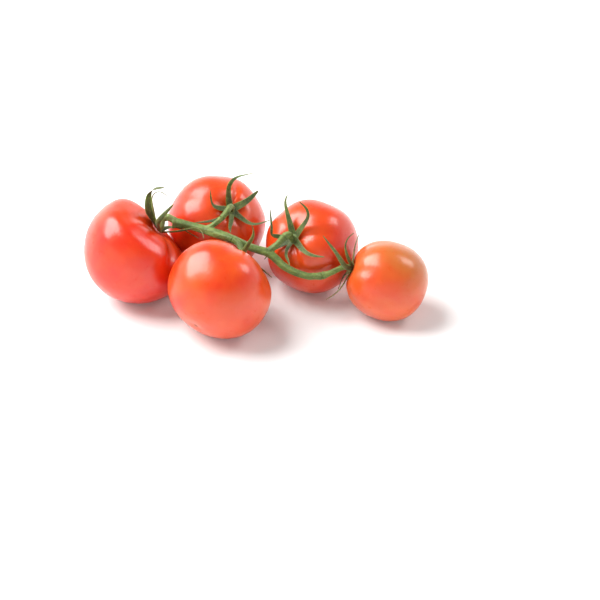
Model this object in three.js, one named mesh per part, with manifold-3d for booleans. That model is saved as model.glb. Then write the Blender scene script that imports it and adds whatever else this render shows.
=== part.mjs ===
// A truss of five ripening tomatoes, as picked, lying on its fruit.
// Millimetres and degrees, +Z up, +X along the truss from its cut end to its tip.
// The origin is on the surface that the truss lies on, under the middle of the truss.
import * as THREE from 'three';
import { mergeVertices } from 'three/addons/utils/BufferGeometryUtils.js';
import Module from 'manifold-3d';

const wasm = await Module();
wasm.setup();

// ---------------------------------------------------------------- driving dimensions

// The middle of the truss, in the layout that the stem and the tomatoes are placed in.
const LAYOUT_MIDDLE = new THREE.Vector3(-29.14, 5.43, 0);

// Flesh: a squashed ball with soft shoulders, faint lobes and a hollow at the stem.
const REST_DEPTH = 0.35; // how far the ripe skin flattens where a tomato rests
const SHOULDER_POWER = 2.25; // 2 is an ellipse, more is a squarer shoulder
const LOBE_HEIGHT = 0.02; // share of the radius
const HOLLOW = { depth: 4.5, width: 9, ofRadius: 33 }; // a tomato can have its own depth
const SCAR = { depth: 0.8, width: 4 }; // at the blossom end
const FACETS_AROUND = 32;
const FACETS_DOWN = 16;
const FLOOR_BLOCK = [400, 400, 20];

// Sepals: a star of narrow leaves around the stalk, just above the hollow.
const SEPAL_START = 2.9; // from the stalk's axis
const SEPAL_RISE = 2.0; // above the bottom of the hollow
const SEPAL_BASE_WIDTH = 1.6;
const SEPAL_TIP_WIDTH = 0.5;
const SEPAL_THICKNESS = { base: 0.9, tip: 0.5 };
const SEPAL_WIDEST = 0.24; // share of the length
const SEPAL_TAPER = 0.8; // less is a blunter tip
const SEPAL_SIDES = 6;
const SEPAL_STEPS = 9;
const BEND_SPREAD = 0.55; // share of the length that a bend takes
const TWIST_AT = 0.2; // share of the length where a sepal rolls
const PATH_STEPS = 36; // fine steps along a sepal's middle line

// Stem.
const STEM_SIDES = 8;
const STEPS_PER_SPAN = 3;
const JOINT_GAP = 0.4; // between a stalk and the stem that it parts from
const STALK_FOOT_RADIUS = 2.1; // where a stalk enters its ring of sepals
const STALK_FOOT_RISE = 1.1; // above the bottom of the hollow
const STALK_NECK_RISE = 4.2; // where a stalk has come into line with its tomato's axis
const STALK_NECK_RADIUS = 1.8;

const RED = '#d02c1e';
const UNRIPE_RED = '#c9562c';
const LEAF_GREEN = '#5d7339';
const STEM_GREEN = '#7d9a4c';

// A sepal leaves the stalk at turn, tilted up by lift. It bends upwards by curl and sideways
// by sway, each [degrees, share of the length where the bend is], and rolls by twist.
// A stem point is [x, y, z, radius]. Each tomato hangs on an arm of the main stem, which ends
// at a joint, and on a stalk of its own from there.
const TOMATOES = [
  {
    place: [-105.1, 7.4],
    radius: 35.4,
    stemSide: 20.2,
    stemPower: 2.85,
    blossomSide: 35.8,
    blossomPower: 1.95,
    hollowDepth: 2.8,
    heading: 25.3,
    pitch: 38.4,
    lobes: { count: 5, turn: 190 },
    color: RED,
    sepals: [
      { turn: 90, length: 39.5, width: 6.2, lift: 17, curl: [33, 0.37], sway: [143, 0.78], twist: 65 },
      { turn: 31, length: 31.8, width: 3.6, lift: 31, curl: [151, 0.72], sway: [22, 0.64] },
      { turn: 133, length: 35, width: 5.6, lift: 14, curl: [61, 0.55], sway: [4, 0.4], taper: 0.65 },
      { turn: 294, length: 29.1, width: 3.8, lift: 47, curl: [-31, 0.41], sway: [-89, 0.31] },
      { turn: 219, length: 41, width: 2.6, lift: 44, curl: [-67, 0.76], sway: [-40, 0.15] },
    ],
    arm: [
      [-79.6, 16.0, 49.8, 2.2],
      [-83.2, 17.2, 52.0, 2.2],
      [-86.3, 17.8, 52.9, 2.1],
    ],
    stalk: [[-88.9, 16.9, 51.6, 1.9]],
  },
  {
    place: [-56.2, 44.5],
    radius: 32.4,
    stemSide: 29,
    blossomSide: 29,
    heading: -52,
    pitch: 48,
    lobes: { count: 6, turn: 150 },
    color: RED,
    sepals: [
      { turn: 2, length: 20, width: 5.2, lift: 20, curl: [-4, 0.6], sway: [17, 0.46], taper: 0.55 },
      { turn: 87, length: 37, width: 5.4, lift: 33, curl: [26, 0.2], sway: [-125, 0.5], taper: 1.3 },
      { turn: 158, length: 29.5, width: 4.2, lift: 12, curl: [47, 0.33], sway: [-49, 0.58] },
      { turn: 198, length: 28, width: 3.6, lift: 30, curl: [-60, 0.36], sway: [-44, 0.45] },
      { turn: 240, length: 24, width: 4, lift: 17, curl: [34, 0.54], sway: [-19, 0.2] },
      { turn: 290, length: 31, width: 4.8, lift: 14, curl: [50, 0.41], sway: [43, 0.58], taper: 1.2 },
    ],
    arm: [
      [-61.3, 9.2, 48.8, 2.4],
      [-56.2, 9.8, 51.8, 1.7],
      [-50.6, 13.4, 55.0, 1.7],
    ],
    stalk: [
      [-46.4, 19.4, 57.9, 1.9],
      [-45.4, 24.4, 57.2, 1.8],
    ],
  },
  {
    place: [-50.5, -34],
    radius: 32.7,
    stemSide: 27,
    blossomSide: 29,
    heading: 55,
    pitch: 29,
    lobes: { count: 5, turn: 0 },
    color: RED,
    sepals: [
      { turn: 30, length: 20, width: 4.2, lift: 12, curl: [-40, 0.55], sway: [20, 0.5] },
      { turn: 123, length: 31, width: 3.8, lift: 30, curl: [-18, 0.63], sway: [-37, 0.72] },
      { turn: 215, length: 22, width: 4.2, lift: 10, curl: [-10, 0.5], sway: [20, 0.5] },
      { turn: 270, length: 24, width: 4.4, lift: 12, curl: [20, 0.6], sway: [-20, 0.5] },
      { turn: 330, length: 23, width: 4.2, lift: 12, curl: [-10, 0.6], sway: [20, 0.5] },
    ],
    arm: [
      [-54.6, 3.9, 49.6, 2.0],
      [-48.0, -1.3, 50.4, 1.8],
      [-42.5, -4.8, 50.2, 1.8],
    ],
    stalk: [
      [-38.9, -8.0, 49.0, 1.8],
      [-37.4, -12.0, 47.2, 1.7],
    ],
  },
  {
    place: [8, 18.5],
    radius: 30.4,
    stemSide: 28,
    blossomSide: 28,
    heading: -128,
    pitch: 39,
    lobes: { count: 6, turn: 0 },
    color: RED,
    sepals: [
      { turn: 62, length: 32, width: 4.6, lift: 23, curl: [48, 0.62], sway: [77, 0.63] },
      { turn: 119, length: 26.5, width: 5.2, lift: 26, curl: [-34, 0.85], sway: [-54, 0.9] },
      { turn: 195, length: 33.5, width: 3.6, lift: 18, curl: [133, 0.33], sway: [90, 0.41] },
      { turn: 233, length: 22.4, width: 3.6, lift: 18, curl: [-41, 0.53], sway: [3, 0.62] },
      { turn: 271, length: 25, width: 3.2, lift: 25, curl: [18, 0.63], sway: [66, 0.32] },
      { turn: 343, length: 29, width: 4.8, lift: 29, curl: [-45, 0.53], sway: [35, 0.65] },
    ],
    arm: [
      [-20.5, -5.2, 41.0, 2.4],
      [-14.3, -3.4, 46.2, 1.9],
      [-9.9, -1.6, 50.2, 2.2],
    ],
    stalk: [[-7.2, -0.4, 51.2, 2.1]],
  },
  {
    place: [56.5, -15],
    radius: 25.3,
    stemSide: 26.5,
    blossomSide: 25,
    heading: 172,
    pitch: 18,
    lobes: { count: 5, turn: 0 },
    color: UNRIPE_RED,
    sepals: [
      { turn: 27, length: 37, width: 4.2, lift: 35, curl: [17, 0.44], sway: [58, 0.27], twist: -50 },
      { turn: 65, length: 27, width: 3.4, lift: 35, curl: [-66, 0.71], sway: [47, 0.37], twist: -40 },
      { turn: 140, length: 22, width: 3.8, lift: 12, curl: [-15, 0.5], sway: [20, 0.5] },
      { turn: 245, length: 22, width: 4, lift: 12, curl: [-15, 0.5], sway: [20, 0.5] },
      { turn: 312, length: 24, width: 4, lift: 12, curl: [25, 0.6], sway: [-20, 0.5] },
    ],
    arm: [
      [6.0, -18.0, 31.0, 2.1],
      [14.0, -17.5, 31.0, 2.2],
    ],
    stalk: [
      [20.0, -16.2, 32.6, 1.8],
      [27.0, -13.2, 34.4, 1.7],
    ],
  },
];

// The main stem, from its flared cut end to the joint of the last tomato.
const MAIN_STEM = [
  [-82.2, 16.8, 49.6, 4.0],
  [-79.4, 16.2, 49.4, 3.2],
  [-71.3, 13.9, 48.9, 2.6],
  [-61.3, 9.2, 48.6, 2.8],
  [-54.6, 5.0, 48.8, 3.0],
  [-48.1, 1.6, 48.6, 2.9],
  [-42.2, -0.8, 47.6, 2.6],
  [-32.0, -3.7, 44.0, 2.5],
  [-24.3, -5.0, 42.0, 2.6],
  [-20.5, -5.6, 41.0, 2.8],
  [-15.4, -8.1, 38.0, 2.6],
  [-10.9, -11.3, 35.0, 2.4],
  [-3.0, -15.5, 32.5, 2.3],
  [6.0, -18.0, 31.0, 2.2],
  [9.5, -18.0, 31.0, 2.1],
];

// ---------------------------------------------------------------- solids

/** A closed solid for cutting and joining, from any closed geometry. */
function toSolid(geometry) {
  const bare = geometry.clone();
  bare.deleteAttribute('normal');
  bare.deleteAttribute('uv');
  const merged = mergeVertices(bare);
  return new wasm.Manifold(
    new wasm.Mesh({
      numProp: 3,
      vertProperties: new Float32Array(merged.attributes.position.array),
      triVerts: new Uint32Array(merged.index.array),
    }),
  );
}

/** The geometry of a solid. */
function toGeometry(solid) {
  const mesh = solid.getMesh();
  const geometry = new THREE.BufferGeometry();
  geometry.setAttribute('position', new THREE.BufferAttribute(mesh.vertProperties, 3));
  geometry.setIndex(new THREE.BufferAttribute(mesh.triVerts, 1));
  geometry.computeVertexNormals();
  return geometry;
}

/** Joins flat-oval rings into one closed geometry; each ring has its own size and place. */
function loft(rings, sides) {
  const steps = rings.length - 1;
  const geometry = new THREE.CylinderGeometry(1, 1, steps, sides, steps);
  const vertices = geometry.attributes.position;
  const point = new THREE.Vector3();
  for (let i = 0; i < vertices.count; i += 1) {
    const ring = rings[Math.round(vertices.getY(i) + steps / 2)];
    point
      .copy(ring.centre)
      .addScaledVector(ring.up, vertices.getX(i) * ring.halfHeight)
      .addScaledVector(ring.across, vertices.getZ(i) * ring.halfWidth);
    vertices.setXYZ(i, point.x, point.y, point.z);
  }
  geometry.computeVertexNormals();
  return geometry;
}

/** The rings of a round rod through points of [x, y, z, radius]. */
function rodRings(points) {
  const curve = new THREE.CatmullRomCurve3(points.map(([x, y, z]) => new THREE.Vector3(x, y, z)));
  const spans = points.length - 1;
  const steps = spans * STEPS_PER_SPAN;
  const up = new THREE.Vector3(0, 0, 1);
  const rings = [];
  for (let i = 0; i <= steps; i += 1) {
    const along = curve.getTangent(i / steps);
    up.addScaledVector(along, -up.dot(along)).normalize();
    const span = Math.min(Math.floor(i / STEPS_PER_SPAN), spans - 1);
    const share = i / STEPS_PER_SPAN - span;
    const radius = THREE.MathUtils.lerp(points[span][3], points[span + 1][3], share);
    rings.push({
      centre: curve.getPoint(i / steps),
      up: up.clone(),
      across: new THREE.Vector3().crossVectors(up, along),
      halfHeight: radius,
      halfWidth: radius,
    });
  }
  return rings;
}

// ---------------------------------------------------------------- one tomato

/** Height of a tomato's skin along its axis, and its distance from the axis. */
function skinPoint(tomato, polar, turn) {
  const towardsStem = Math.cos(polar) > 0;
  const halfHeight = towardsStem ? tomato.stemSide : tomato.blossomSide;
  const power = 2 / ((towardsStem ? tomato.stemPower : tomato.blossomPower) ?? SHOULDER_POWER);
  const smoothRadius = tomato.radius * Math.abs(Math.sin(polar)) ** power;
  const angle = tomato.lobes.count * turn + THREE.MathUtils.degToRad(tomato.lobes.turn);
  const fade = 0.35 + 0.65 * THREE.MathUtils.clamp(Math.cos(polar) + 0.35, 0, 1);
  const radius = smoothRadius * (1 + LOBE_HEIGHT * Math.cos(angle) * fade);
  const height = Math.sign(Math.cos(polar)) * halfHeight * Math.abs(Math.cos(polar)) ** power;
  const scale = tomato.radius / HOLLOW.ofRadius;
  const dip = towardsStem
    ? -(tomato.hollowDepth ?? HOLLOW.depth) * scale * Math.exp(-((radius / (HOLLOW.width * scale)) ** 2))
    : SCAR.depth * Math.exp(-((radius / SCAR.width) ** 2));
  return { radius, height: height + dip };
}

/** A tomato's frame: +Z of the frame is its axis, pointing out of the stem end. */
function tomatoTurn(tomato) {
  const heading = THREE.MathUtils.degToRad(tomato.heading);
  const pitch = THREE.MathUtils.degToRad(tomato.pitch);
  const axis = new THREE.Vector3(
    Math.cos(heading) * Math.cos(pitch),
    Math.sin(heading) * Math.cos(pitch),
    Math.sin(pitch),
  );
  const level = new THREE.Vector3(-Math.sin(heading), Math.cos(heading), 0);
  const over = new THREE.Vector3().crossVectors(axis, level);
  return new THREE.Matrix4().makeBasis(level, over, axis);
}

/** The skin of a tomato, turned to its axis and set down on the surface, still round. */
function roundFlesh(tomato) {
  const geometry = new THREE.SphereGeometry(1, FACETS_AROUND, FACETS_DOWN);
  geometry.rotateX(Math.PI / 2);
  const vertices = geometry.attributes.position;
  for (let i = 0; i < vertices.count; i += 1) {
    const polar = Math.acos(THREE.MathUtils.clamp(vertices.getZ(i), -1, 1));
    const turn = Math.atan2(vertices.getY(i), vertices.getX(i));
    const { radius, height } = skinPoint(tomato, polar, turn);
    vertices.setXYZ(i, radius * Math.cos(turn), radius * Math.sin(turn), height);
  }
  geometry.applyMatrix4(tomatoTurn(tomato));
  geometry.computeBoundingBox();
  return geometry;
}

/** Where a tomato's middle is, so that its lowest skin is pressed flat by REST_DEPTH. */
function tomatoMiddle(tomato) {
  const lowest = roundFlesh(tomato).boundingBox.min.z;
  return new THREE.Vector3(...tomato.place, -lowest - REST_DEPTH);
}

/** A whole tomato with the flat that it rests on, in the layout. */
function flesh(tomato) {
  const middle = tomatoMiddle(tomato);
  const ball = roundFlesh(tomato).translate(middle.x, middle.y, middle.z);
  const [width, depth, height] = FLOOR_BLOCK;
  const floor = new THREE.BoxGeometry(width, depth, height).translate(middle.x, middle.y, -height / 2);
  return toGeometry(toSolid(ball).subtract(toSolid(floor)));
}

/** Height of the bottom of the stem hollow above a tomato's middle. */
function hollowHeight(tomato) {
  return skinPoint(tomato, 0, 0).height;
}

// ---------------------------------------------------------------- sepals

/** How much of a bend is behind a point that is this share of the way along. */
function bent(share, bendAt) {
  return THREE.MathUtils.smoothstep(share, bendAt - BEND_SPREAD / 2, bendAt + BEND_SPREAD / 2);
}

/** Full width of a sepal at a share of its length. */
function sepalWidth(share, { width, taper = SEPAL_TAPER }) {
  const swell = THREE.MathUtils.smoothstep(share, 0, SEPAL_WIDEST);
  const broad = THREE.MathUtils.lerp(SEPAL_BASE_WIDTH, width, swell);
  return broad * (1 - share) ** taper + SEPAL_TIP_WIDTH * share;
}

/** The rings of one sepal, in the frame of its tomato. */
function sepalRings(tomato, sepal) {
  const rad = THREE.MathUtils.degToRad;
  const outwards = new THREE.Vector3(Math.cos(rad(sepal.turn)), Math.sin(rad(sepal.turn)), 0);
  const axis = new THREE.Vector3(0, 0, 1);
  const sideways = new THREE.Vector3().crossVectors(axis, outwards);
  const centre = outwards.clone().multiplyScalar(SEPAL_START);
  centre.z = hollowHeight(tomato) + SEPAL_RISE;
  const rings = [];
  for (let i = 0; i <= PATH_STEPS; i += 1) {
    const share = i / PATH_STEPS;
    const rise = rad(sepal.lift + sepal.curl[0] * bent(share, sepal.curl[1]));
    const swing = rad(sepal.sway[0] * bent(share, sepal.sway[1]));
    const level = outwards.clone().multiplyScalar(Math.cos(swing))
      .addScaledVector(sideways, Math.sin(swing));
    const across = sideways.clone().multiplyScalar(Math.cos(swing))
      .addScaledVector(outwards, -Math.sin(swing));
    const along = level.multiplyScalar(Math.cos(rise)).addScaledVector(axis, Math.sin(rise));
    if (i % (PATH_STEPS / SEPAL_STEPS) === 0) {
      across.applyAxisAngle(along, rad((sepal.twist ?? 0) * bent(share, TWIST_AT)));
      rings.push({
        centre: centre.clone(),
        up: new THREE.Vector3().crossVectors(along, across),
        across,
        halfHeight: THREE.MathUtils.lerp(SEPAL_THICKNESS.base, SEPAL_THICKNESS.tip, share) / 2,
        halfWidth: sepalWidth(share, sepal) / 2,
      });
    }
    centre.addScaledVector(along, sepal.length / PATH_STEPS);
  }
  return rings;
}

/** The star of sepals of a tomato, as a group that stands in the tomato's frame. */
function calyx(tomato, name) {
  const star = new THREE.Group();
  star.applyMatrix4(tomatoTurn(tomato));
  star.position.copy(tomatoMiddle(tomato));
  tomato.sepals.forEach((sepal, index) => {
    const geometry = loft(sepalRings(tomato, sepal), SEPAL_SIDES);
    star.add(part(`${name}_sepal_${index + 1}`, geometry, LEAF_GREEN, 0.75));
  });
  return star;
}

// ---------------------------------------------------------------- stem

/** The arm and the stalk of a tomato as one run of rings, parted at the joint. */
function armAndStalk(tomato) {
  const axis = new THREE.Vector3().setFromMatrixColumn(tomatoTurn(tomato), 2);
  const hollow = tomatoMiddle(tomato).addScaledVector(axis, hollowHeight(tomato));
  const neck = hollow.clone().addScaledVector(axis, STALK_NECK_RISE);
  const foot = hollow.clone().addScaledVector(axis, STALK_FOOT_RISE);
  const rings = rodRings([
    ...tomato.arm,
    ...tomato.stalk,
    [...neck.toArray(), STALK_NECK_RADIUS],
    [...foot.toArray(), STALK_FOOT_RADIUS],
  ]);
  const joint = (tomato.arm.length - 1) * STEPS_PER_SPAN;
  const [atJoint, next] = rings.slice(joint, joint + 2);
  const along = next.centre.clone().sub(atJoint.centre).normalize();
  const pastJoint = { ...atJoint, centre: atJoint.centre.clone().addScaledVector(along, JOINT_GAP) };
  return { arm: rings.slice(0, joint + 1), stalk: [pastJoint, ...rings.slice(joint + 1)] };
}

/** The main stem with its five arms, as one branched solid. */
function mainStem() {
  const rods = [rodRings(MAIN_STEM), ...TOMATOES.map((tomato) => armAndStalk(tomato).arm)];
  const solids = rods.map((rings) => toSolid(loft(rings, STEM_SIDES)));
  return toGeometry(solids.reduce((stem, arm) => stem.add(arm)));
}

// ---------------------------------------------------------------- the truss

/** A named piece. */
function part(name, geometry, color, roughness) {
  const finish = new THREE.MeshStandardMaterial({ color, roughness, metalness: 0 });
  const mesh = new THREE.Mesh(geometry, finish);
  mesh.name = name;
  return mesh;
}

function buildTruss() {
  const truss = new THREE.Group();
  const layout = new THREE.Group();
  layout.position.copy(LAYOUT_MIDDLE).negate();
  truss.add(layout);
  layout.add(part('main_stem', mainStem(), STEM_GREEN, 0.7));
  TOMATOES.forEach((tomato, index) => {
    const name = `tomato_${index + 1}`;
    layout.add(part(name, flesh(tomato), tomato.color, 0.3));
    layout.add(part(`${name}_stalk`, loft(armAndStalk(tomato).stalk, STEM_SIDES), STEM_GREEN, 0.7));
    layout.add(calyx(tomato, name));
  });
  truss.updateMatrixWorld(true);
  return truss;
}

export default buildTruss();
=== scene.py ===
"""A truss of five ripening tomatoes, lying on its fruit on a pale studio floor."""

import logging
import math
from dataclasses import dataclass
from enum import Enum
from typing import Callable, Sequence

import bmesh
import bpy
from bmesh.types import BMEdge, BMesh, BMVert
from mathutils import Matrix, Vector, noise


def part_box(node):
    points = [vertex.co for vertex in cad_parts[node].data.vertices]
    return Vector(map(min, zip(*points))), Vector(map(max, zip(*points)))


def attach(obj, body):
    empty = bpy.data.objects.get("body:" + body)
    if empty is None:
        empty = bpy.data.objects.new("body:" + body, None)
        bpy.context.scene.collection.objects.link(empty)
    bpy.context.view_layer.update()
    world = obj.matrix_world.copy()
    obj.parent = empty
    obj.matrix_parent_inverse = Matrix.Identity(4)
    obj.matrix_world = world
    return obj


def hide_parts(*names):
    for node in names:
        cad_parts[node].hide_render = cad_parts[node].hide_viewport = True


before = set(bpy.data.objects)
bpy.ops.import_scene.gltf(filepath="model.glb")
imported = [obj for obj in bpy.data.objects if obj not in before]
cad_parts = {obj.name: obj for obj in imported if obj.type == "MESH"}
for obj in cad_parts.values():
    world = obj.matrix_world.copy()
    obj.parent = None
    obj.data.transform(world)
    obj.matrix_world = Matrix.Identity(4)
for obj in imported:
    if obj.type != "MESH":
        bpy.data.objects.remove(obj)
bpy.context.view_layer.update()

LOG = logging.getLogger("truss")
MM = 0.001
OWN_PLACE = "own_place"  # where a point is on its own piece, for patterns that follow the piece
LAYOUT_MIDDLE = Vector((-29.14, 5.43, 0.0))  # the middle of the truss, in the layout below
BODY = "root"


# ---------------------------------------------------------------- small sums


def smooth_step(value: float, low: float, high: float) -> float:
    """How far value is from low to high, from 0 to 1, easing in and out."""
    share = min(1.0, max(0.0, (value - low) / (high - low)))
    return share * share * (3.0 - 2.0 * share)


def blend(low: float, high: float, share: float) -> float:
    """The value that lies share of the way from low to high."""
    return low + (high - low) * share


def bell(distance: float, width: float) -> float:
    """1 at no distance, and fading to nothing a few widths away."""
    return math.exp(-((distance / width) ** 2))


def linear(red: int, green: int, blue: int) -> tuple[float, float, float, float]:
    """A screen colour of 0 to 255 as the linear colour that a shader takes."""
    def channel(value: int) -> float:
        """One channel, linear."""
        share = value / 255.0
        return share / 12.92 if share <= 0.04045 else ((share + 0.055) / 1.055) ** 2.4

    return (channel(red), channel(green), channel(blue), 1.0)


# ---------------------------------------------------------------- what grows where


class Ripeness(Enum):
    """How far a tomato has ripened; the value is its slot in the record."""

    RIPE = "ripe_skin"
    TURNING = "turning_skin"


@dataclass(frozen=True)
class Bend:
    """A bend in a sepal: its degrees, the share of the length where it is, and its half length."""

    degrees: float
    at: float
    spread: float = 0.275

    def behind(self, share: float) -> float:
        """The degrees that have been turned at this share of the length."""
        return self.degrees * smooth_step(share, self.at - self.spread, self.at + self.spread)


@dataclass(frozen=True)
class SepalShape:
    """One sepal of a star: where it leaves the stalk, how long and broad it is, how it bends."""

    turn: float
    length: float
    width: float
    lift: float
    curl: Bend
    sway: Bend
    twist: float = 0.0
    taper: float = 0.8


@dataclass(frozen=True)
class Furrow:
    """A furrow that runs out of a tomato's hollow; a negative depth makes it a swelling.

    Its turn and half width are in degrees, its depth in millimetres, and its reach is how far
    up towards the stalk it fades, as the height of a direction of length 1.
    """

    turn: float
    depth: float
    width: float = 11.0
    reach: float = 0.35


@dataclass(frozen=True)
class TomatoShape:
    """One tomato in millimetres and degrees; arm and stalk are points of x, y, z and radius."""

    number: int
    radius: float
    stem_side: float
    blossom_side: float
    heading: float
    pitch: float
    lobes: int
    furrows: tuple[Furrow, ...]
    sepals: tuple[SepalShape, ...]
    arm: tuple[tuple[float, ...], ...]
    stalk: tuple[tuple[float, ...], ...]
    lobe_turn: float = 0.0
    stem_power: float = 2.25
    blossom_power: float = 2.25
    hollow_depth: float = 4.5
    ripeness: Ripeness = Ripeness.RIPE

    @property
    def node(self) -> str:
        """The name of its CAD node, which its stalk's and sepals' names start with."""
        return f"tomato_{self.number}"


TOMATOES = (
    TomatoShape(
        1, 35.4, 20.2, 35.8, 25.3, 38.4, 5,
        (
            Furrow(48, -2.8, 30.0, 0.5), Furrow(124, 2.6, 42.0, 0.25), Furrow(184, 2.6, 8.0, 0.2),
            Furrow(104, 1.0), Furrow(262, 0.9), Furrow(325, 0.6), Furrow(35, 0.8),
        ),
        (
            SepalShape(90, 39.5, 6.2, 17, Bend(33, 0.37), Bend(143, 0.78), twist=78.0, taper=0.62),
            SepalShape(31, 31.8, 3.6, 31, Bend(151, 0.72), Bend(22, 0.64)),
            SepalShape(133, 35.0, 5.6, 14, Bend(61, 0.55), Bend(4, 0.4), taper=0.65),
            SepalShape(294, 29.1, 3.8, 47, Bend(-31, 0.41), Bend(-89, 0.31)),
            SepalShape(219, 41.0, 2.6, 44, Bend(-67, 0.76), Bend(-40, 0.15)),
        ),
        ((-79.6, 16.0, 49.8, 2.2), (-83.2, 17.2, 52.0, 2.2), (-86.3, 17.8, 52.9, 2.1)),
        ((-88.9, 16.9, 51.6, 1.9),),
        lobe_turn=190.0, stem_power=2.85, blossom_power=1.95, hollow_depth=2.8,
    ),
    TomatoShape(
        2, 32.4, 29.0, 29.0, -52.0, 48.0, 6,
        (Furrow(44, 1.1, 9.0, 0.6), Furrow(272, 0.9, 9.0, 0.3), Furrow(130, 0.35), Furrow(220, 0.5)),
        (
            SepalShape(2, 20.0, 5.2, 20, Bend(-4, 0.6), Bend(17, 0.46), taper=0.55),
            SepalShape(87, 37.0, 5.4, 33, Bend(26, 0.2), Bend(-125, 0.5), taper=1.3),
            SepalShape(158, 29.5, 4.2, 12, Bend(47, 0.33), Bend(-49, 0.58)),
            SepalShape(198, 28.0, 3.6, 30, Bend(-60, 0.36), Bend(-44, 0.45)),
            SepalShape(240, 24.0, 4.0, 17, Bend(34, 0.54), Bend(-19, 0.2)),
            SepalShape(290, 31.0, 4.8, 14, Bend(50, 0.41), Bend(43, 0.58), taper=1.2),
        ),
        ((-61.3, 9.2, 48.8, 2.4), (-56.2, 9.8, 51.8, 1.7), (-50.6, 13.4, 55.0, 1.7)),
        ((-46.4, 19.4, 57.9, 1.9), (-45.4, 24.4, 57.2, 1.8)),
        lobe_turn=150.0,
    ),
    TomatoShape(
        3, 32.7, 27.0, 29.0, 55.0, 29.0, 5,
        (Furrow(36, 0.8), Furrow(108, 0.7), Furrow(180, 0.6), Furrow(252, 0.8), Furrow(320, 0.6)),
        (
            SepalShape(30, 20.0, 4.2, 12, Bend(-40, 0.55), Bend(20, 0.5)),
            SepalShape(123, 31.0, 3.8, 30, Bend(-18, 0.63), Bend(-37, 0.72)),
            SepalShape(215, 22.0, 4.2, 10, Bend(-10, 0.5), Bend(20, 0.5)),
            SepalShape(270, 24.0, 4.4, 12, Bend(20, 0.6), Bend(-20, 0.5)),
            SepalShape(330, 23.0, 4.2, 12, Bend(-10, 0.6), Bend(20, 0.5)),
        ),
        ((-54.6, 3.9, 49.6, 2.0), (-48.0, -1.3, 50.4, 1.8), (-42.5, -4.8, 50.2, 1.8)),
        ((-38.9, -8.0, 49.0, 1.8), (-37.4, -12.0, 47.2, 1.7)),
    ),
    TomatoShape(
        4, 30.4, 28.0, 28.0, -128.0, 39.0, 6,
        (Furrow(30, 0.7, 10.0, 0.55), Furrow(150, 0.4), Furrow(222, 0.6), Furrow(307, 0.8, 9.0, 0.3)),
        (
            SepalShape(62, 32.0, 4.6, 23, Bend(48, 0.62), Bend(77, 0.63)),
            SepalShape(119, 26.5, 5.2, 26, Bend(-34, 0.85), Bend(-54, 0.9)),
            SepalShape(195, 33.5, 3.6, 18, Bend(133, 0.33), Bend(90, 0.41)),
            SepalShape(233, 22.4, 3.6, 18, Bend(-41, 0.53), Bend(3, 0.62)),
            SepalShape(271, 25.0, 3.2, 25, Bend(18, 0.63), Bend(66, 0.32)),
            SepalShape(343, 29.0, 4.8, 29, Bend(-45, 0.53), Bend(35, 0.65)),
        ),
        ((-20.5, -5.2, 41.0, 2.4), (-14.3, -3.4, 46.2, 1.9), (-9.9, -1.6, 50.2, 2.2)),
        ((-7.2, -0.4, 51.2, 2.1),),
    ),
    TomatoShape(
        5, 25.3, 26.5, 25.0, 172.0, 18.0, 5,
        (Furrow(36, 0.5), Furrow(108, 0.4), Furrow(180, 0.4), Furrow(252, 0.5), Furrow(324, 0.4)),
        (
            SepalShape(27, 37.0, 4.2, 35, Bend(17, 0.44), Bend(58, 0.27), twist=-50.0),
            SepalShape(65, 27.0, 3.4, 35, Bend(-66, 0.71), Bend(47, 0.37), twist=-40.0),
            SepalShape(140, 22.0, 3.8, 12, Bend(-15, 0.5), Bend(20, 0.5)),
            SepalShape(245, 22.0, 4.0, 12, Bend(-15, 0.5), Bend(20, 0.5)),
            SepalShape(312, 24.0, 4.0, 12, Bend(25, 0.6), Bend(-20, 0.5)),
        ),
        ((6.0, -18.0, 31.0, 2.1), (14.0, -17.5, 31.0, 2.2)),
        ((20.0, -16.2, 32.6, 1.8), (27.0, -13.2, 34.4, 1.7)),
        ripeness=Ripeness.TURNING,
    ),
)

# The main stem, from its flared cut end to the joint of the last tomato.
MAIN_STEM = (
    (-82.2, 16.8, 49.6, 4.0),
    (-79.4, 16.2, 49.4, 3.2),
    (-71.3, 13.9, 48.9, 2.6),
    (-61.3, 9.2, 48.6, 2.8),
    (-54.6, 5.0, 48.8, 3.0),
    (-48.1, 1.6, 48.6, 2.9),
    (-42.2, -0.8, 47.6, 2.6),
    (-32.0, -3.7, 44.0, 2.5),
    (-24.3, -5.0, 42.0, 2.6),
    (-20.5, -5.6, 41.0, 2.8),
    (-15.4, -8.1, 38.0, 2.6),
    (-10.9, -11.3, 35.0, 2.4),
    (-3.0, -15.5, 32.5, 2.3),
    (6.0, -18.0, 31.0, 2.2),
    (9.5, -18.0, 31.0, 2.1),
)


# ---------------------------------------------------------------- shader sums


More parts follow.
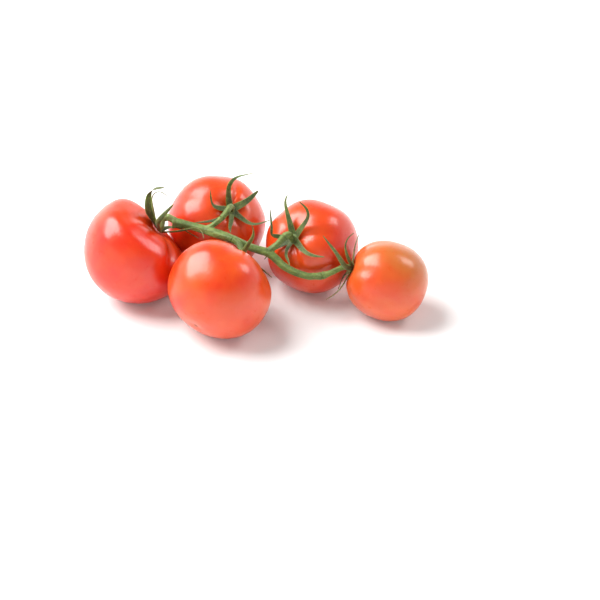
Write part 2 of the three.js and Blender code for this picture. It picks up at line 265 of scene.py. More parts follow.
class Wire:
    """A socket in a finish; sums on it add the Math nodes that they need."""

    def __init__(self, nodes: "NodeTable", socket: bpy.types.NodeSocket) -> None:
        """Holds the socket and the node table that it belongs to."""
        self.nodes = nodes
        self.socket = socket

    def sum(self, operation: str, *values: "Wire | float") -> "Wire":
        """A Math node of that operation on these values, or on this wire alone."""
        inputs = dict(enumerate(values or (self,)))
        return self.nodes.add("ShaderNodeMath", {"operation": operation}, inputs)

    def __add__(self, other: "Wire | float") -> "Wire":
        """self + other."""
        return self.sum("ADD", self, other)

    def __sub__(self, other: "Wire | float") -> "Wire":
        """self - other."""
        return self.sum("SUBTRACT", self, other)

    def __rsub__(self, other: float) -> "Wire":
        """other - self."""
        return self.sum("SUBTRACT", other, self)

    def __mul__(self, other: "Wire | float") -> "Wire":
        """self * other."""
        return self.sum("MULTIPLY", self, other)

    __radd__ = __add__
    __rmul__ = __mul__

    def above(self, low: float, high: float) -> "Wire":
        """0 below low, 1 above high, easing between them; low may be the larger."""
        settings = {"interpolation_type": "SMOOTHSTEP", "clamp": True}
        flip = low > high
        inputs = {"Value": self, "From Min": min(low, high), "From Max": max(low, high)}
        eased = self.nodes.add("ShaderNodeMapRange", settings, inputs)
        return 1.0 - eased if flip else eased


class NodeTable:
    """The nodes of one finish, added one by one."""

    def __init__(self, tree: bpy.types.NodeTree) -> None:
        """Empties the tree that the nodes go in."""
        self.tree = tree
        tree.nodes.clear()

    def add(
        self,
        kind: str,
        settings: dict[str, object] | None = None,
        inputs: dict[str | int, object] | None = None,
        output: str | int = 0,
    ) -> Wire:
        """Adds one node.

        Args:
            kind: the node's type.
            settings: what is set on the node before its sockets.
            inputs: a value, or a Wire to link, for each socket by name or number.
            output: the socket that is handed back.

        Returns:
            The node's output socket.
        """
        node = self.tree.nodes.new(kind)
        for name, value in (settings or {}).items():
            setattr(node, name, value)
        for name, value in (inputs or {}).items():
            if isinstance(value, Wire):
                self.tree.links.new(value.socket, node.inputs[name])
            else:
                node.inputs[name].default_value = value
        return Wire(self, node.outputs[output] if len(node.outputs) else None)

    def mix(self, share: Wire | float, first: object, second: object, how: str = "MIX") -> Wire:
        """The colour that is share of the way from the first to the second."""
        settings = {"data_type": "RGBA", "blend_type": how}
        return self.add("ShaderNodeMix", settings, {0: share, 6: first, 7: second}, output=2)

    def noise(self, place: Wire, scale: float, detail: float = 2.0, roughness: float = 0.5) -> Wire:
        """A soft random pattern, from 0 to 1."""
        inputs = {"Vector": place, "Scale": scale, "Detail": detail, "Roughness": roughness}
        return self.add("ShaderNodeTexNoise", {}, inputs)

    def scaled(self, place: Wire, *sizes: float) -> Wire:
        """A place with each of its directions scaled."""
        return self.add("ShaderNodeMapping", {}, {"Vector": place, "Scale": sizes})

    def shifted(self, place: Wire, amount: float) -> Wire:
        """A place moved aside, so that two pieces don't share a pattern."""
        return self.add("ShaderNodeMapping", {}, {"Vector": place, "Location": (amount,) * 3})

    def split(self, place: Wire) -> tuple[Wire, Wire, Wire]:
        """The three numbers of a place."""
        parts = self.add("ShaderNodeSeparateXYZ", {}, {0: place}).socket.node.outputs
        return tuple(Wire(self, part) for part in parts)

    def bump(self, height: Wire, depth: float, below: Wire | None = None) -> Wire:
        """A bump of this height, with depth in metres, over one that is already there."""
        inputs = {"Height": height, "Distance": depth, "Strength": 1.0}
        if below is not None:
            inputs["Normal"] = below
        return self.add("ShaderNodeBump", {}, inputs)


def own_place(nodes: NodeTable) -> Wire:
    """Where a point is on its own piece."""
    return nodes.add("ShaderNodeAttribute", {"attribute_name": OWN_PLACE}, output="Vector")


def object_place(nodes: NodeTable) -> Wire:
    """Where a point is in the row frame, in metres."""
    return nodes.add("ShaderNodeTexCoord", output="Object")


def close_material(name: str, build: Callable[[NodeTable], Wire]) -> bpy.types.Material:
    """Makes a material from the shader that build adds."""
    material = bpy.data.materials.new(name)
    material.use_nodes = True
    nodes = NodeTable(material.node_tree)
    nodes.add("ShaderNodeOutputMaterial", {}, {"Surface": build(nodes)})
    return material


# ---------------------------------------------------------------- finishes


@dataclass(frozen=True)
class SkinFinish:
    """Thin glossy skin over wet flesh, blushed unevenly, with small pale specks."""

    name: str
    deep: tuple[float, ...] = linear(200, 34, 12)
    bright: tuple[float, ...] = linear(208, 62, 16)
    shoulder: tuple[float, ...] = linear(210, 78, 20)
    patch: tuple[float, ...] = linear(214, 86, 22)
    patch_share: float = 0.35
    blush: tuple[float, ...] = linear(212, 80, 22)
    blush_towards: tuple[float, float, float] = (0.0, 0.0, 1.0)
    blush_share: float = 0.2
    speck: tuple[float, ...] = linear(222, 112, 66)
    speck_share: float = 0.35
    streak_share: float = 0.2
    shoulder_share: float = 0.45
    scar: tuple[float, ...] = linear(110, 78, 46)
    scar_size: float = 0.05
    scar_raggedness: float = 0.03
    scar_roughness: float = 0.4
    roughness: float = 0.24
    fine_depth: float = 0.00002
    ripple_depth: float = 0.00013
    seed: float = 0.0

    def material(self) -> bpy.types.Material:
        """The skin as a material."""
        return close_material(self.name, self._shader)

    def _colour(self, nodes: NodeTable, place: Wire) -> Wire:
        """Red that deepens in patches, with streaks from the stem end and pale specks."""
        moved = nodes.shifted(place, self.seed)
        _, _, height = nodes.split(place)
        broad = nodes.noise(moved, 1.3, 2.0).above(0.35, 0.68)
        colour = nodes.mix(broad, self.deep, self.bright)
        patches = nodes.noise(nodes.shifted(moved, 7.3), 0.9, 3.0).above(0.42, 0.7)
        colour = nodes.mix(patches * self.patch_share, colour, self.patch)
        streaks = nodes.noise(nodes.scaled(moved, 9.0, 9.0, 1.6), 1.0, 3.0).above(0.5, 0.78)
        colour = nodes.mix(streaks * self.streak_share, colour, self.shoulder)
        colour = nodes.mix(height.above(0.45, 0.86) * self.shoulder_share, colour, self.shoulder)
        colour = nodes.mix(self._specks(nodes, moved) * self.speck_share, colour, self.speck)
        colour = nodes.mix(self._blush(nodes, place, moved) * self.blush_share, colour, self.blush)
        return nodes.mix(self._scar(nodes, place), colour, self.scar)

    def _specks(self, nodes: NodeTable, moved: Wire) -> Wire:
        """1 on the small specks, which come in loose groups."""
        inputs = {"Vector": moved, "Scale": 26.0, "Randomness": 1.0}
        cells = nodes.add("ShaderNodeTexVoronoi", {"feature": "F1"}, inputs)
        return cells.above(0.13, 0.04) * nodes.noise(moved, 5.0).above(0.4, 0.62)

    def _blush(self, nodes: NodeTable, place: Wire, moved: Wire) -> Wire:
        """1 on the side that has ripened least, with an uneven edge."""
        inputs = {0: place, 1: self.blush_towards}
        facing = nodes.add("ShaderNodeVectorMath", {"operation": "DOT_PRODUCT"}, inputs, "Value")
        return (facing + (nodes.noise(moved, 2.2, 4.0) - 0.5) * 0.5).above(0.0, 0.95)

    def _scar(self, nodes: NodeTable, place: Wire) -> Wire:
        """1 on the small corky scar at the blossom end."""
        across, over, height = nodes.split(place)
        away = (across * across + over * over).sum("SQRT")
        ragged = away + (nodes.noise(place, 40.0) - 0.5) * self.scar_raggedness
        return ragged.above(self.scar_size, self.scar_size / 2) * height.above(0.0, -0.3)

    def _shader(self, nodes: NodeTable) -> Wire:
        """The whole skin."""
        place = own_place(nodes)
        moved = nodes.shifted(place, self.seed)
        fine = nodes.noise(moved, 95.0, 2.0)
        ripple = nodes.noise(moved, 7.0, 3.0)
        rough = fine * 0.05 + self.roughness + ripple * 0.04
        rough = rough + self._scar(nodes, place) * self.scar_roughness
        bumps = nodes.bump(fine, self.fine_depth)
        bumps = nodes.bump(ripple, self.ripple_depth, bumps)
        return nodes.add("ShaderNodeBsdfPrincipled", {"subsurface_method": "RANDOM_WALK"}, {
            "Base Color": self._colour(nodes, place),
            "Roughness": rough,
            "Normal": bumps,
            "IOR": 1.5,
            "Subsurface Weight": 0.25,
            "Subsurface Radius": (1.0, 0.22, 0.1),
            "Subsurface Scale": 0.003,
            "Coat Weight": 0.15,
            "Coat Roughness": 0.14,
        })


@dataclass(frozen=True)
class GreenFinish:
    """Green stem or leaf: dull, downy, darker in patches and paler along its ridges."""

    name: str
    deep: tuple[float, ...] = linear(76, 96, 36)
    bright: tuple[float, ...] = linear(110, 130, 58)
    pale: tuple[float, ...] = linear(140, 156, 98)
    cut: tuple[float, ...] = linear(146, 152, 96)
    grain_share: float = 0.45
    grain_depth: float = 0.00012
    lump_depth: float = 0.0003
    roughness: float = 0.55
    sheen: float = 0.12

    def material(self) -> bpy.types.Material:
        """The finish as a material."""
        return close_material(self.name, self._shader)

    def _colour(self, nodes: NodeTable, place: Wire) -> Wire:
        """Mottled green with pale grains."""
        broad = nodes.noise(place, 130.0, 3.0).above(0.36, 0.66)
        colour = nodes.mix(broad, self.deep, self.bright)
        grains = nodes.noise(place, 1150.0, 2.0).above(0.54, 0.7)
        return nodes.mix(grains * self.grain_share, colour, self.pale)

    def _shader(self, nodes: NodeTable) -> Wire:
        """The whole finish."""
        place = object_place(nodes)
        grain = nodes.noise(place, 1700.0, 3.0, 0.6)
        lumps = nodes.noise(place, 420.0, 2.0)
        bumps = nodes.bump(grain, self.grain_depth)
        bumps = nodes.bump(lumps, self.lump_depth, bumps)
        return nodes.add("ShaderNodeBsdfPrincipled", {"subsurface_method": "RANDOM_WALK"}, {
            "Base Color": self._colour(nodes, place),
            "Roughness": grain * 0.15 + self.roughness,
            "Normal": bumps,
            "Subsurface Weight": 0.3,
            "Subsurface Radius": (0.5, 1.0, 0.2),
            "Subsurface Scale": 0.0015,
            "Sheen Weight": self.sheen,
            "Sheen Roughness": 0.45,
            "Sheen Tint": (0.86, 0.92, 0.72, 1.0),
        })


@dataclass(frozen=True)
class StemFinish(GreenFinish):
    """The main stem and the stalks, paler and yellower at the cut end."""

    groove: tuple[float, ...] = linear(62, 84, 30)
    groove_share: float = 0.55
    ridge_share: float = 0.4
    cut_share: float = 0.4
    run: tuple[float, float, float] = (0.0, 0.1, 0.36)
    cut_from: float = -0.049
    cut_to: float = -0.0545

    def _colour(self, nodes: NodeTable, place: Wire) -> Wire:
        """Stem green, streaked along the stem, that pales towards the cut end."""
        colour = super()._colour(nodes, place)
        turned = nodes.add("ShaderNodeMapping", {}, {"Vector": place, "Rotation": self.run})
        grooves = nodes.noise(nodes.scaled(turned, 60.0, 900.0, 900.0), 1.0, 3.0).above(0.42, 0.66)
        colour = nodes.mix(grooves * self.groove_share, colour, self.groove)
        ridges = nodes.noise(nodes.scaled(turned, 45.0, 700.0, 700.0), 1.0, 2.0).above(0.6, 0.75)
        colour = nodes.mix(ridges * self.ridge_share, colour, self.pale)
        x, _, _ = nodes.split(place)
        return nodes.mix(x.above(self.cut_from, self.cut_to) * self.cut_share, colour, self.cut)


@dataclass(frozen=True)
class SepalFinish(GreenFinish):
    """A sepal, with a pale downy edge, a sunk midrib and a browning tip."""

    tip: tuple[float, ...] = linear(94, 94, 44)
    edge_share: float = 0.5
    rib_share: float = 0.35
    tip_share: float = 0.7

    def _colour(self, nodes: NodeTable, place: Wire) -> Wire:
        """Leaf green by where the point is along and across the sepal."""
        colour = super()._colour(nodes, place)
        along, across, _ = nodes.split(own_place(nodes))
        edge = across.sum("ABSOLUTE")
        colour = nodes.mix(edge.above(0.74, 0.98) * self.edge_share, colour, self.pale)
        colour = nodes.mix(edge.above(0.2, 0.04) * self.rib_share, colour, self.deep)
        return nodes.mix(along.above(0.72, 1.0) * self.tip_share, colour, self.tip)


@dataclass(frozen=True)
class FloorFinish:
    """Plain matt pale floor."""

    name: str = "floor_white"
    colour: tuple[float, ...] = (0.93, 0.925, 0.92, 1.0)

    def material(self) -> bpy.types.Material:
        """The floor as a material."""
        return close_material(self.name, self._shader)

    def _shader(self, nodes: NodeTable) -> Wire:
        """An even matt surface."""
        return nodes.add("ShaderNodeBsdfDiffuse", {}, {"Color": self.colour, "Roughness": 0.6})


# ---------------------------------------------------------------- mesh tools


@dataclass
class Ring:
    """One cross-section of a run: its place, its two directions and its two half sizes."""

    centre: Vector
    up: Vector
    across: Vector
    half_height: float
    half_width: float
    share: float = 0.0


Outline = Callable[[Ring, float], tuple[float, float]]


def draw_run(bm: BMesh, rings: Sequence[Ring], sides: int, outline: Outline) -> None:
    """Adds a closed run through rings: a circle is extruded ring by ring, then each is set out.

    Args:
        bm: the mesh that the run is added to.
        rings: the cross-sections, from one end to the other.
        sides: how many points a ring has.
        outline: gives across and up, in half sizes, for a ring and an angle.
    """
    layer = bm.verts.layers.float_vector.get(OWN_PLACE)
    made = list(bmesh.ops.create_circle(bm, cap_ends=True, segments=sides, radius=1.0)["verts"])
    edges = [edge for edge in bm.edges if edge.verts[0] in set(made)]
    for _ in rings[1:]:
        grown = bmesh.ops.extrude_edge_only(bm, edges=edges)["geom"]
        verts = [item for item in grown if isinstance(item, BMVert)]
        bmesh.ops.translate(bm, vec=(0.0, 0.0, 1.0), verts=verts)
        level = set(verts)
        edges = [
            item for item in grown
            if isinstance(item, BMEdge) and item.verts[0] in level and item.verts[1] in level
        ]
        made.extend(verts)
    bmesh.ops.contextual_create(bm, geom=edges)
    for vert in made:
        ring = rings[round(vert.co.z)]
        across, up = outline(ring, math.atan2(vert.co.y, vert.co.x))
        vert[layer] = (ring.share, across, up)
        vert.co = (
            ring.centre
            + ring.across * (across * ring.half_width)
            + ring.up * (up * ring.half_height)
        )


def new_mesh() -> BMesh:
    """An empty mesh that can hold each point's own place."""
    bm = bmesh.new()
    bm.verts.layers.float_vector.new(OWN_PLACE)
    return bm


def finish_piece(
    bm: BMesh, name: str, nodes: Sequence[str], material: bpy.types.Material
) -> bpy.types.Object:
    """Turns a mesh in millimetres in the layout into a piece of the object.

    Args:
        bm: the mesh, which is freed.
        name: the piece's name.
        nodes: the CAD nodes that it stands for.
        material: its finish.

    Returns:
        The piece, at the origin of the row frame.
    """
    bmesh.ops.recalc_face_normals(bm, faces=bm.faces)
    to_row = Matrix.Scale(MM, 4) @ Matrix.Translation(-LAYOUT_MIDDLE)
    bmesh.ops.transform(bm, matrix=to_row, verts=bm.verts)
    mesh = bpy.data.meshes.new(name)
    bm.to_mesh(mesh)
    bm.free()
    for polygon in mesh.polygons:
        polygon.use_smooth = True
    mesh.materials.append(material)
    piece = bpy.data.objects.new(name, mesh)
    bpy.context.scene.collection.objects.link(piece)
    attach(piece, BODY)
    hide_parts(*nodes)
    LOG.info("%s: %d faces, stands for %s", name, len(mesh.polygons), ", ".join(nodes))
    return piece


class Rod:
    """A smooth curve through points of x, y, z and radius."""

    def __init__(self, points: Sequence[Sequence[float]]) -> None:
        """Keeps the points, and one more past each end."""
        places = [Vector(point[:3]) for point in points]
        self.places = [2 * places[0] - places[1], *places, 2 * places[-1] - places[-2]]
        self.radii = [point[3] for point in points]

    @property
    def spans(self) -> int:
        """How many spans lie between the points."""
        return len(self.radii) - 1

    def at(self, where: float) -> tuple[Vector, Vector, float]:
        """Place, direction and radius.

        Args:
            where: a number of spans from the start.

        Returns:
            The place, the direction along the rod, and the radius.
        """
        span = min(int(where), self.spans - 1)
        share = where - span
        before, start, end, after = self.places[span:span + 4]
        steps = [
            max((b - a).length_squared ** 0.25, 1e-4)
            for a, b in ((before, start), (start, end), (end, after))
        ]
        leave = (
            (start - before) / steps[0]
            - (end - before) / (steps[0] + steps[1])
            + (end - start) / steps[1]
        ) * steps[1]
        arrive = (
            (end - start) / steps[1]
            - (after - start) / (steps[1] + steps[2])
            + (after - end) / steps[2]
        ) * steps[1]
        square = 3 * (end - start) - 2 * leave - arrive
        cube = 2 * (start - end) + leave + arrive
        place = start + share * (leave + share * (square + share * cube))
        along = leave + share * (2 * square + 3 * share * cube)
        radius = blend(self.radii[span], self.radii[span + 1], smooth_step(share, 0.0, 1.0))
        return place, along.normalized(), radius

    def rings(self, first: float, last: float, per_span: int) -> list[Ring]:
        """Round rings from one number of spans to another."""
        steps = max(2, math.ceil((last - first) * per_span))
        up = Vector((0.0, 0.0, 1.0))
        rings = []
        for step in range(steps + 1):
            where = blend(first, last, step / steps)
            place, along, radius = self.at(where)
            up = (up - along * up.dot(along)).normalized()
            rings.append(Ring(place, up.copy(), up.cross(along), radius, radius, where))
        return rings


# ---------------------------------------------------------------- tomatoes


@dataclass
class Tomato:
    """The flesh and skin of one tomato, with its frame, which its stalk and sepals share."""

    shape: TomatoShape
    lobe_height: float = 0.02
    least_lobe: float = 0.35
    hollow_width: float = 9.0
    hollow_of_radius: float = 33.0
    scar_depth: float = 0.8
    scar_width: float = 4.0
    furrow_from: float = 2.5
    furrow_to: float = 9.0
    fade_below: float = 0.25
    fade_above: float = 0.35
    unevenness: float = 0.32
    broad_noise: float = 1.6
    fine_noise: float = 3.7
    fine_share: float = 0.4
    calm_from: float = 4.0
    calm_to: float = 12.0
    nub_height: float = 0.5
    nub_width: float = 1.1
    rest_depth: float = 0.35
    fineness: int = 7

    def __post_init__(self) -> None:
        """Works out the frame: turned to the tomato's axis, and set where its CAD node is."""
        shape = self.shape
        heading, pitch = math.radians(shape.heading), math.radians(shape.pitch)
        self.axis = Vector((
            math.cos(heading) * math.cos(pitch), math.sin(heading) * math.cos(pitch), math.sin(pitch)
        ))
        level = Vector((-math.sin(heading), math.cos(heading), 0.0))
        over = self.axis.cross(level)
        self.turn = Matrix((level, over, self.axis)).transposed().to_4x4()
        self.middle = self._middle()
        self.frame = Matrix.Translation(self.middle) @ self.turn

    def _middle(self) -> Vector:
        """The tomato's middle in the layout, from the box of its CAD node."""
        ball = bmesh.new()
        bmesh.ops.create_icosphere(ball, subdivisions=5, radius=1.0)
        points = [self.turn @ self.smooth_skin(vert.co.normalized()) for vert in ball.verts]
        ball.free()
        low = Vector(min(point[i] for point in points) for i in range(3))
        high = Vector(max(point[i] for point in points) for i in range(3))
        cad_low, cad_high = (corner / MM + LAYOUT_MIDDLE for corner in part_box(self.shape.node))
        middle = (cad_low + cad_high) / 2 - (low + high) / 2
        middle.z = -low.z - self.rest_depth
        return middle

    def smooth_skin(self, towards: Vector) -> Vector:
        """The skin with its hollow and lobes, before its furrows.

        Args:
            towards: a direction from the middle, of length 1, in the tomato's frame.

        Returns:
            The point of the skin, in the tomato's frame.
        """
        shape = self.shape
        upwards, outwards = towards.z, math.hypot(towards.x, towards.y)
        turn = math.atan2(towards.y, towards.x)
        half_height = shape.stem_side if upwards > 0 else shape.blossom_side
        power = 2 / blend(shape.blossom_power, shape.stem_power, smooth_step(upwards, -0.3, 0.3))
        fade = blend(self.least_lobe, 1.0, min(1.0, max(0.0, upwards + self.least_lobe)))
        swell = 1 + self.lobe_height * math.cos(self.lobe_angle(turn)) * fade
        radius = shape.radius * outwards ** power * swell
        height = math.copysign(half_height * abs(upwards) ** power, upwards)
        scale = shape.radius / self.hollow_of_radius
        if upwards > 0:
            height -= shape.hollow_depth * scale * bell(radius, self.hollow_width * scale)
        else:
            height += self.scar_depth * bell(radius, self.scar_width)
        return Vector((radius * math.cos(turn), radius * math.sin(turn), height))

    def lobe_angle(self, turn: float) -> float:
        """The angle round the lobes; a lobe stands highest at each whole turn of it."""
        return self.shape.lobes * turn + math.radians(self.shape.lobe_turn)

    def furrows(self, towards: Vector, away: float) -> float:
        """How deep the furrows are in a direction, at a distance from the axis."""
        turn = math.degrees(math.atan2(towards.y, towards.x))
        depth = 0.0
        for furrow in self.shape.furrows:
            aside = (turn - furrow.turn + 180.0) % 360.0 - 180.0
            low, high = furrow.reach - self.fade_below, furrow.reach + self.fade_above
            reach = smooth_step(towards.z, low, high)
            depth += furrow.depth * bell(aside, furrow.width) * reach
        return depth * smooth_step(away, self.furrow_from, self.furrow_to)

    def skin(self, towards: Vector) -> Vector:
        """The finished skin in a direction, in the tomato's frame."""
        point = self.smooth_skin(towards)
        away = math.hypot(point.x, point.y)
        seed = Vector((self.shape.number * 3.1, 0.0, 0.0))
        broad = noise.noise(towards * self.broad_noise + seed)
        uneven = broad + self.fine_share * noise.noise(towards * self.fine_noise + seed)
        calm = smooth_step(away, self.calm_from, self.calm_to)
        inwards = self.furrows(towards, away) + self.unevenness * calm * uneven
        nub = self.nub_height * bell(away, self.nub_width) if towards.z < 0 else 0.0
        return point - towards * (inwards - nub)

    def hollow_height(self) -> float:
        """Height of the bottom of the stem hollow above the middle."""
        return self.smooth_skin(Vector((0.0, 0.0, 1.0))).z

    def build(self, finish: SkinFinish) -> bpy.types.Object:
        """Makes the skin, pressed flat where it rests on the floor."""
        bm = new_mesh()
        layer = bm.verts.layers.float_vector[OWN_PLACE]
        bmesh.ops.create_icosphere(bm, subdivisions=self.fineness, radius=1.0)
        for vert in bm.verts:
            point = self.skin(vert.co.normalized())
            vert[layer] = point / self.shape.radius
            vert.co = self.frame @ point
            vert.co.z = max(0.0, vert.co.z)
        name = f"{self.shape.node}_skin"
        return finish_piece(bm, name, [self.shape.node], finish.material())


# ---------------------------------------------------------------- sepals


@dataclass
class Calyx:
    """The star of sepals of one tomato."""

    tomato: Tomato
    start: float = 2.9
    rise: float = 2.0
    tip_width: float = 0.42
    base_thickness: float = 0.95
    tip_thickness: float = 0.46
    twist_at: float = 0.2
    cup: float = 0.24
    cup_level: float = 0.35
    cup_fade: float = 0.5
    rib: float = 0.22
    rib_width: float = 0.22
    crease: float = 0.15
    crease_width: float = 0.18
    edge_thinning: float = 0.45
    root_steps: tuple[float, ...] = (1.9, 1.2, 0.6)
    root_taper: float = 0.22
    root_fall: float = 0.12
    steps: int = 48
    sides: int = 20

    def width(self, sepal: SepalShape, share: float) -> float:
        """Full width of a sepal at a share of its length."""
        return sepal.width * (1 - share) ** sepal.taper + self.tip_width * share

    def rings(self, sepal: SepalShape) -> list[Ring]:
        """The rings of one sepal in the tomato's frame, from its root under the stalk."""
        turn = math.radians(sepal.turn)
        outwards = Vector((math.cos(turn), math.sin(turn), 0.0))
        axis = Vector((0.0, 0.0, 1.0))
        sideways = axis.cross(outwards)
        centre = outwards * self.start + axis * (self.tomato.hollow_height() + self.rise)
        rings = []
        for step in range(self.steps + 1):
            share = step / self.steps
            rise = math.radians(sepal.lift + sepal.curl.behind(share))
            swing = math.radians(sepal.sway.behind(share))
            level = outwards * math.cos(swing) + sideways * math.sin(swing)
            across = sideways * math.cos(swing) - outwards * math.sin(swing)
            along = level * math.cos(rise) + axis * math.sin(rise)
            roll = math.radians(sepal.twist * Bend(1.0, self.twist_at).behind(share))
            across.rotate(Matrix.Rotation(roll, 3, along))
            thickness = blend(self.base_thickness, self.tip_thickness, share)
            half_width = self.width(sepal, share) / 2
            up = along.cross(across)
            rings.append(Ring(centre.copy(), up, across, thickness / 2, half_width, share))
            centre += along * (sepal.length / self.steps)
        return [self._root(rings[0], outwards, back) for back in self.root_steps] + rings

    def _root(self, ring: Ring, outwards: Vector, back: float) -> Ring:
        """A ring further in, where the sepal goes under the stalk."""
        narrow = 1 - self.root_taper * back
        centre = ring.centre - outwards * back - Vector((0.0, 0.0, self.root_fall * back))
        return Ring(centre, ring.up, ring.across, ring.half_height, ring.half_width * narrow, 0.0)

    def outline(self, ring: Ring, angle: float) -> tuple[float, float]:
        """A leaf's section: thin edges that curve up, and a midrib under it."""
        across = math.cos(angle)
        broad = ring.half_width / ring.half_height
        lens = math.sin(angle) * (1 - self.edge_thinning * across * across)
        if angle < 0:
            rib = self.rib * bell(across, self.rib_width)
        else:
            rib = self.crease * bell(across, self.crease_width)
        bend = self.cup * broad * (across * across - self.cup_level)
        return across, lens - rib + bend * (1 - self.cup_fade * ring.share)

    def build(self, finish: SepalFinish) -> list[bpy.types.Object]:
        """Makes every sepal of the star."""
        pieces = []
        material = finish.material()
        for number, sepal in enumerate(self.tomato.shape.sepals, start=1):
            bm = new_mesh()
            draw_run(bm, self.rings(sepal), self.sides, self.outline)
            bmesh.ops.transform(bm, matrix=self.tomato.frame, verts=bm.verts)
            node = f"{self.tomato.shape.node}_sepal_{number}"
            pieces.append(finish_piece(bm, f"{node}_leaf", [node], material))
        return pieces


# ---------------------------------------------------------------- stem and stalks


@dataclass
class Hanger:
    """What a tomato hangs on: an arm of the main stem, a joint, and its own stalk."""

    tomato: Tomato
    neck_rise: float = 4.2
    neck_radius: float = 1.8
    foot_rise: float = 1.1
    foot_radius: float = 2.1
    knuckle: float = 0.2
    knuckle_width: float = 1.9
    groove: float = 0.16
    groove_width: float = 0.45
    ridge: float = 0.08
    flange: tuple[tuple[float, float], ...] = (
        (2.9, 2.05), (2.5, 2.5), (2.2, 3.1), (1.8, 3.4), (1.3, 3.2), (1.0, 2.2)
    )
    per_span: int = 9
    sides: int = 24

    def __post_init__(self) -> None:
        """Draws the curve from the main stem to the hollow of the tomato."""
        shape, axis = self.tomato.shape, self.tomato.axis
        hollow = self.tomato.middle + axis * self.tomato.hollow_height()
        neck = hollow + axis * self.neck_rise
        foot = hollow + axis * self.foot_rise
        self.hollow = hollow
        self.rod = Rod([
            *shape.arm, *shape.stalk, (*neck, self.neck_radius), (*foot, self.foot_radius)
        ])
        self.joint = float(len(shape.arm) - 1)

    def _swell(self, rings: list[Ring]) -> list[Ring]:
        """Thickens the rings near the joint, with a groove at the joint itself."""
        joint = self.rod.at(self.joint)[0]
        for ring in rings:
            away = (ring.centre - joint).length
            swell = 1 + self.knuckle * bell(away, self.knuckle_width)
            swell -= self.groove * bell(away, self.groove_width)
            ring.half_height *= swell
            ring.half_width *= swell
        return rings

    def arm_rings(self) -> list[Ring]:
        """The arm, from inside the main stem to the joint."""
        return self._swell(self.rod.rings(0.0, self.joint, self.per_span))

    def stalk_rings(self) -> list[Ring]:
        """The stalk, from the joint to the flange that the sepals grow from."""
        rings = self._swell(self.rod.rings(self.joint + 0.01, self.rod.spans - 0.35, self.per_span))
        last = rings[-1]
        for rise, radius in self.flange:
            centre = self.hollow + self.tomato.axis * rise
            rings.append(Ring(centre, last.up, last.across, radius, radius, last.share))
        return rings

    def outline(self, ring: Ring, angle: float) -> tuple[float, float]:
        """A stalk's section: nearly round, with five soft ridges."""
        ridge = 1 + self.ridge * math.cos(5 * angle + 0.8 * ring.share)
        return math.cos(angle) * ridge, math.sin(angle) * ridge

    def build(self, finish: StemFinish) -> bpy.types.Object:
        """Makes the stalk."""
        bm = new_mesh()
        draw_run(bm, self.stalk_rings(), self.sides, self.outline)
        node = f"{self.tomato.shape.node}_stalk"
        return finish_piece(bm, f"{node}_ridged", [node], finish.material())


@dataclass
class MainStem:
    """The main stem with the arms of all the tomatoes, grown together."""

    hangers: Sequence[Hanger]
    per_span: int = 9
    sides: int = 24
    ridge: float = 0.07
    side_ridge: float = 0.03
    dish: tuple[tuple[float, float], ...] = ((0.9, 0.5), (0.9, 2.2), (0.5, 3.0), (0.0, 3.5))
    voxel: float = 0.35
    smoothing: int = 2

    def outline(self, ring: Ring, angle: float) -> tuple[float, float]:
        """The main stem's section: round with soft ridges that wind along it."""
        ridge = 1 + self.ridge * math.cos(5 * angle + 0.5 * ring.share)
        ridge += self.side_ridge * math.cos(3 * angle - ring.share)
        return math.cos(angle) * ridge, math.sin(angle) * ridge

    def main_rings(self) -> list[Ring]:
        """The main stem's rings, starting in the dish of its cut end."""
        rod = Rod(MAIN_STEM)
        rings = rod.rings(0.0, rod.spans, self.per_span)
        first = rings[0]
        along = (rings[1].centre - first.centre).normalized()
        dish = [
            Ring(first.centre + along * depth, first.up, first.across, radius, radius)
            for depth, radius in self.dish
        ]
        return dish + rings

    def build(self, finish: StemFinish) -> bpy.types.Object:
        """Makes the stem: runs that overlap, made one skin and smoothed where they meet."""
        runs = new_mesh()
        draw_run(runs, self.main_rings(), self.sides, self.outline)
        for hanger in self.hangers:
            draw_run(runs, hanger.arm_rings(), self.sides, hanger.outline)
        bmesh.ops.recalc_face_normals(runs, faces=runs.faces)
        bm = self._grown_together(runs)
        for _ in range(self.smoothing):
            bmesh.ops.smooth_vert(
                bm, verts=bm.verts, factor=0.5, use_axis_x=True, use_axis_y=True, use_axis_z=True
            )
        return finish_piece(bm, "main_stem_ridged", ["main_stem"], finish.material())

    def _grown_together(self, runs: BMesh) -> BMesh:
        """One closed skin round all the runs."""
        mesh = bpy.data.meshes.new("stem_runs")
        runs.to_mesh(mesh)
        runs.free()
        holder = bpy.data.objects.new("stem_runs", mesh)
        bpy.context.scene.collection.objects.link(holder)
        remesh = holder.modifiers.new("one_skin", "REMESH")
        remesh.mode = "VOXEL"
        remesh.voxel_size = self.voxel
        graph = bpy.context.evaluated_depsgraph_get()
        joined = bpy.data.meshes.new_from_object(holder.evaluated_get(graph))
        bm = new_mesh()
        bm.from_mesh(joined)
        bpy.data.objects.remove(holder)
        bpy.data.meshes.remove(joined)
        return bm


# ---------------------------------------------------------------- studio


@dataclass(frozen=True)
class SoftBox:
    """A square soft light: where it is from the middle of the truss, its size and its power."""

    name: str
    towards: tuple[float, float, float]
    distance: float
    size: float
    watts: float

    def build(self, middle: Vector) -> None:
        """Hangs the light, facing the truss."""
        light = bpy.data.lights.new(self.name, "AREA")
        light.shape = "SQUARE"
        light.size = self.size
        light.energy = self.watts
        holder = bpy.data.objects.new(self.name, light)
        away = Vector(self.towards).normalized()
        holder.location = middle + away * self.distance
        holder.rotation_euler = away.to_track_quat("Z", "Y").to_euler()
        bpy.context.scene.collection.objects.link(holder)


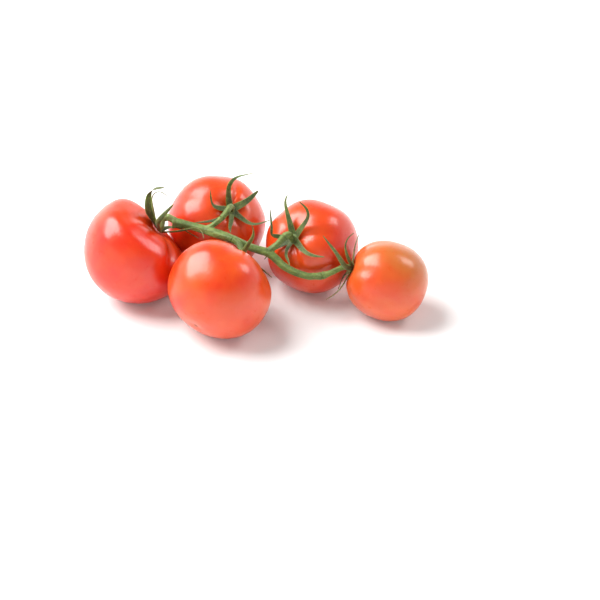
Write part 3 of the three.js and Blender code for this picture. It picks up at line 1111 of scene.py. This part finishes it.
@dataclass
class Studio:
    """Floor, lights and camera."""

    floor_size: float = 12.0
    elevation: float = 35.0
    lens: float = 85.0
    sensor: float = 36.0
    distance: float = 0.935
    boxes: tuple[SoftBox, ...] = (
        SoftBox("key_box", (-0.60, 0.12, 0.79), 1.3, 1.1, 38.0),
        SoftBox("side_box", (0.68, 0.24, 0.69), 1.3, 0.5, 5.5),
    )
    back_light: float = 1.8
    front_light: float = 1.45
    top_light: float = 0.22
    seen_light: float = 0.6
    lights_aim: float = 0.03

    def build(self) -> None:
        """Sets up the whole studio."""
        self._floor()
        self._surroundings()
        self._camera()
        for box in self.boxes:
            box.build(Vector((0.0, 0.0, self.lights_aim)))
        bpy.context.scene.view_settings.view_transform = "Standard"

    def _floor(self) -> None:
        """A plain pale floor."""
        bm = bmesh.new()
        bmesh.ops.create_grid(bm, x_segments=1, y_segments=1, size=self.floor_size / 2)
        mesh = bpy.data.meshes.new("floor")
        bm.to_mesh(mesh)
        bm.free()
        mesh.materials.append(FloorFinish().material())
        floor = bpy.data.objects.new("floor", mesh)
        bpy.context.scene.collection.objects.link(floor)

    def _surroundings(self) -> None:
        """White light from low all round, weaker from the front, under a dark ceiling."""
        world = bpy.data.worlds.new("studio_light")
        bpy.context.scene.world = world
        world.use_nodes = True
        nodes = NodeTable(world.node_tree)
        _, depth, height = nodes.split(nodes.add("ShaderNodeTexCoord", output="Generated"))
        back = depth.above(-0.35, 0.55)
        round_about = back * (self.back_light - self.front_light) + self.front_light
        low = height.above(0.75, 0.0)
        strength = low * (round_about - self.top_light) + self.top_light
        shown = nodes.add("ShaderNodeLightPath", output="Is Camera Ray")
        strength = strength * (1.0 - shown) + shown * self.seen_light
        white = (1.0, 1.0, 1.0, 1.0)
        light = nodes.add("ShaderNodeBackground", {}, {"Color": white, "Strength": strength})
        nodes.add("ShaderNodeOutputWorld", {}, {"Surface": light})

    def _camera(self) -> None:
        """The camera, looking along +Y and down at the truss."""
        camera = bpy.data.cameras.new("camera")
        camera.lens = self.lens
        camera.sensor_width = self.sensor
        camera.clip_start = 0.01
        camera.clip_end = 50.0
        holder = bpy.data.objects.new("camera", camera)
        tilt = math.radians(self.elevation)
        target = Vector((-LAYOUT_MIDDLE.x, -LAYOUT_MIDDLE.y, 0.0)) * MM
        holder.location = target + Vector((0.0, -math.cos(tilt), math.sin(tilt))) * self.distance
        holder.rotation_euler = (math.radians(90.0 - self.elevation), 0.0, 0.0)
        bpy.context.scene.collection.objects.link(holder)
        bpy.context.scene.camera = holder


# ---------------------------------------------------------------- the truss


SKINS = {
    1: SkinFinish("skin_red_1", deep=linear(202, 28, 12), bright=linear(208, 50, 14), seed=0.0),
    2: SkinFinish("skin_red_2", seed=11.0),
    3: SkinFinish(
        "skin_red_3", deep=linear(204, 46, 12), bright=linear(210, 74, 16), patch_share=0.5, seed=23.0
    ),
    4: SkinFinish("skin_red_4", seed=37.0),
    5: SkinFinish(
        "skin_turning", deep=linear(208, 68, 22), bright=linear(210, 86, 30),
        shoulder=linear(208, 96, 40), patch=linear(196, 98, 40), patch_share=0.5,
        blush=linear(166, 106, 44), blush_towards=(-0.437, 0.821, -0.359), blush_share=0.7, seed=51.0,
    ),
}


def main() -> None:
    """Builds the tomatoes, their stars and stalks, the stem and the studio."""
    logging.basicConfig(level=logging.INFO, format="%(name)s: %(message)s")
    stem_finish = StemFinish("stem_green")
    sepal_finish = SepalFinish(
        "sepal_green", deep=linear(52, 70, 24), bright=linear(86, 102, 42), pale=linear(142, 138, 88)
    )
    hangers = []
    for shape in TOMATOES:
        tomato = Tomato(shape)
        tomato.build(SKINS[shape.number])
        Calyx(tomato).build(sepal_finish)
        hanger = Hanger(tomato)
        hanger.build(stem_finish)
        hangers.append(hanger)
    MainStem(hangers).build(stem_finish)
    Studio().build()


if __name__ == "__main__":
    main()
